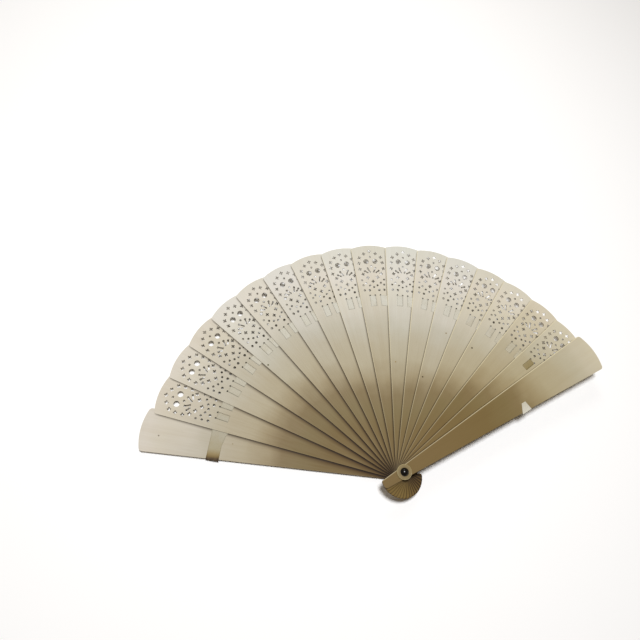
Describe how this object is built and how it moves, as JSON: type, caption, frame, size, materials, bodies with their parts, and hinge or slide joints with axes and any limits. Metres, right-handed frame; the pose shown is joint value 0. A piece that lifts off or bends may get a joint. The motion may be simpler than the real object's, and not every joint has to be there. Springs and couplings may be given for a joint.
{
  "type": "folding fan",
  "caption": "Open folding fan of overlapping pierced blades between two plain guards, pinned by one domed rivet and linked by a ribbon woven through slits.",
  "frame": {"origin": "centre of the rivet's flat back end, on the pivot axis, which is the lowest face of the fan", "axes": "+Z along the rivet towards its domed head, +Y up the middle of the open fan, +X to the right as seen from the front, across the spread"},
  "size_m": [0.3984, 0.2238, 0.0239],
  "materials": {
    "blade_wood": "smooth satin, pale, thin sawn sheet",
    "guard_wood": "smooth satin, pale, handled",
    "washer_wood": "turned and polished",
    "rivet_metal": "glossy black japanned dome",
    "rove_metal": "dull, tarnished",
    "ribbon": "thin woven gauze, off-white, soiled at its ends"
  },
  "bodies": {
    "back": {"back_guard": "guard_wood", "rivet": "rivet_metal", "front_washer": "washer_wood", "back_washer": "washer_wood", "rove": "rove_metal", "ribbon_back_end": "ribbon"},
    "stick_01": {"blade_01": "blade_wood", "ribbon_01": "ribbon"},
    "stick_02": {"blade_02": "blade_wood", "ribbon_02": "ribbon"},
    "stick_03": {"blade_03": "blade_wood", "ribbon_03": "ribbon"},
    "stick_04": {"blade_04": "blade_wood", "ribbon_04": "ribbon"},
    "stick_05": {"blade_05": "blade_wood", "ribbon_05": "ribbon"},
    "stick_06": {"blade_06": "blade_wood", "ribbon_06": "ribbon"},
    "stick_07": {"blade_07": "blade_wood", "ribbon_07": "ribbon"},
    "stick_08": {"blade_08": "blade_wood", "ribbon_08": "ribbon"},
    "stick_09": {"blade_09": "blade_wood", "ribbon_09": "ribbon"},
    "stick_10": {"blade_10": "blade_wood", "ribbon_10": "ribbon"},
    "stick_11": {"blade_11": "blade_wood", "ribbon_11": "ribbon"},
    "stick_12": {"blade_12": "blade_wood", "ribbon_12": "ribbon"},
    "stick_13": {"blade_13": "blade_wood", "ribbon_13": "ribbon"},
    "stick_14": {"blade_14": "blade_wood", "ribbon_14": "ribbon"},
    "stick_15": {"blade_15": "blade_wood", "ribbon_15": "ribbon"},
    "stick_16": {"blade_16": "blade_wood", "ribbon_16": "ribbon"},
    "front": {"front_guard": "guard_wood", "ribbon_front_end": "ribbon"}
  },
  "joints": [
    {"name": "pivot_01", "type": "hinge", "parent": "back", "child": "stick_01", "pos_m": [0, 0, 0], "axis": [0, 0, 1], "range_deg": [0, 8.5]},
    {"name": "pivot_02", "type": "hinge", "parent": "stick_01", "child": "stick_02", "pos_m": [0, 0, 0], "axis": [0, 0, 1], "range_deg": [0, 8.7]},
    {"name": "pivot_03", "type": "hinge", "parent": "stick_02", "child": "stick_03", "pos_m": [0, 0, 0], "axis": [0, 0, 1], "range_deg": [0, 8.7]},
    {"name": "pivot_04", "type": "hinge", "parent": "stick_03", "child": "stick_04", "pos_m": [0, 0, 0], "axis": [0, 0, 1], "range_deg": [0, 8.4]},
    {"name": "pivot_05", "type": "hinge", "parent": "stick_04", "child": "stick_05", "pos_m": [0, 0, 0], "axis": [0, 0, 1], "range_deg": [0, 8.2]},
    {"name": "pivot_06", "type": "hinge", "parent": "stick_05", "child": "stick_06", "pos_m": [0, 0, 0], "axis": [0, 0, 1], "range_deg": [0, 8.3]},
    {"name": "pivot_07", "type": "hinge", "parent": "stick_06", "child": "stick_07", "pos_m": [0, 0, 0], "axis": [0, 0, 1], "range_deg": [0, 8]},
    {"name": "pivot_08", "type": "hinge", "parent": "stick_07", "child": "stick_08", "pos_m": [0, 0, 0], "axis": [0, 0, 1], "range_deg": [0, 8.4]},
    {"name": "pivot_09", "type": "hinge", "parent": "stick_08", "child": "stick_09", "pos_m": [0, 0, 0], "axis": [0, 0, 1], "range_deg": [0, 8.1]},
    {"name": "pivot_10", "type": "hinge", "parent": "stick_09", "child": "stick_10", "pos_m": [0, 0, 0], "axis": [0, 0, 1], "range_deg": [0, 9.2]},
    {"name": "pivot_11", "type": "hinge", "parent": "stick_10", "child": "stick_11", "pos_m": [0, 0, 0], "axis": [0, 0, 1], "range_deg": [0, 8.6]},
    {"name": "pivot_12", "type": "hinge", "parent": "stick_11", "child": "stick_12", "pos_m": [0, 0, 0], "axis": [0, 0, 1], "range_deg": [0, 8.1]},
    {"name": "pivot_13", "type": "hinge", "parent": "stick_12", "child": "stick_13", "pos_m": [0, 0, 0], "axis": [0, 0, 1], "range_deg": [0, 8.5]},
    {"name": "pivot_14", "type": "hinge", "parent": "stick_13", "child": "stick_14", "pos_m": [0, 0, 0], "axis": [0, 0, 1], "range_deg": [0, 7.6]},
    {"name": "pivot_15", "type": "hinge", "parent": "stick_14", "child": "stick_15", "pos_m": [0, 0, 0], "axis": [0, 0, 1], "range_deg": [0, 8.4]},
    {"name": "pivot_16", "type": "hinge", "parent": "stick_15", "child": "stick_16", "pos_m": [0, 0, 0], "axis": [0, 0, 1], "range_deg": [0, 7.9]},
    {"name": "pivot_17", "type": "hinge", "parent": "stick_16", "child": "front", "pos_m": [0, 0, 0], "axis": [0, 0, 1], "range_deg": [0, 6.5]}
  ],
  "couplings": [
    {"joint": "pivot_02", "follows": "pivot_01", "ratio": 1.0235},
    {"joint": "pivot_03", "follows": "pivot_01", "ratio": 1.0235},
    {"joint": "pivot_04", "follows": "pivot_01", "ratio": 0.98823},
    {"joint": "pivot_05", "follows": "pivot_01", "ratio": 0.9647},
    {"joint": "pivot_06", "follows": "pivot_01", "ratio": 0.97647},
    {"joint": "pivot_07", "follows": "pivot_01", "ratio": 0.94117},
    {"joint": "pivot_08", "follows": "pivot_01", "ratio": 0.98823},
    {"joint": "pivot_09", "follows": "pivot_01", "ratio": 0.95294},
    {"joint": "pivot_10", "follows": "pivot_01", "ratio": 1.0823},
    {"joint": "pivot_11", "follows": "pivot_01", "ratio": 1.0118},
    {"joint": "pivot_12", "follows": "pivot_01", "ratio": 0.95294},
    {"joint": "pivot_13", "follows": "pivot_01", "ratio": 1},
    {"joint": "pivot_14", "follows": "pivot_01", "ratio": 0.89411},
    {"joint": "pivot_15", "follows": "pivot_01", "ratio": 0.98823},
    {"joint": "pivot_16", "follows": "pivot_01", "ratio": 0.92941},
    {"joint": "pivot_17", "follows": "pivot_01", "ratio": 0.7647}
  ]
}
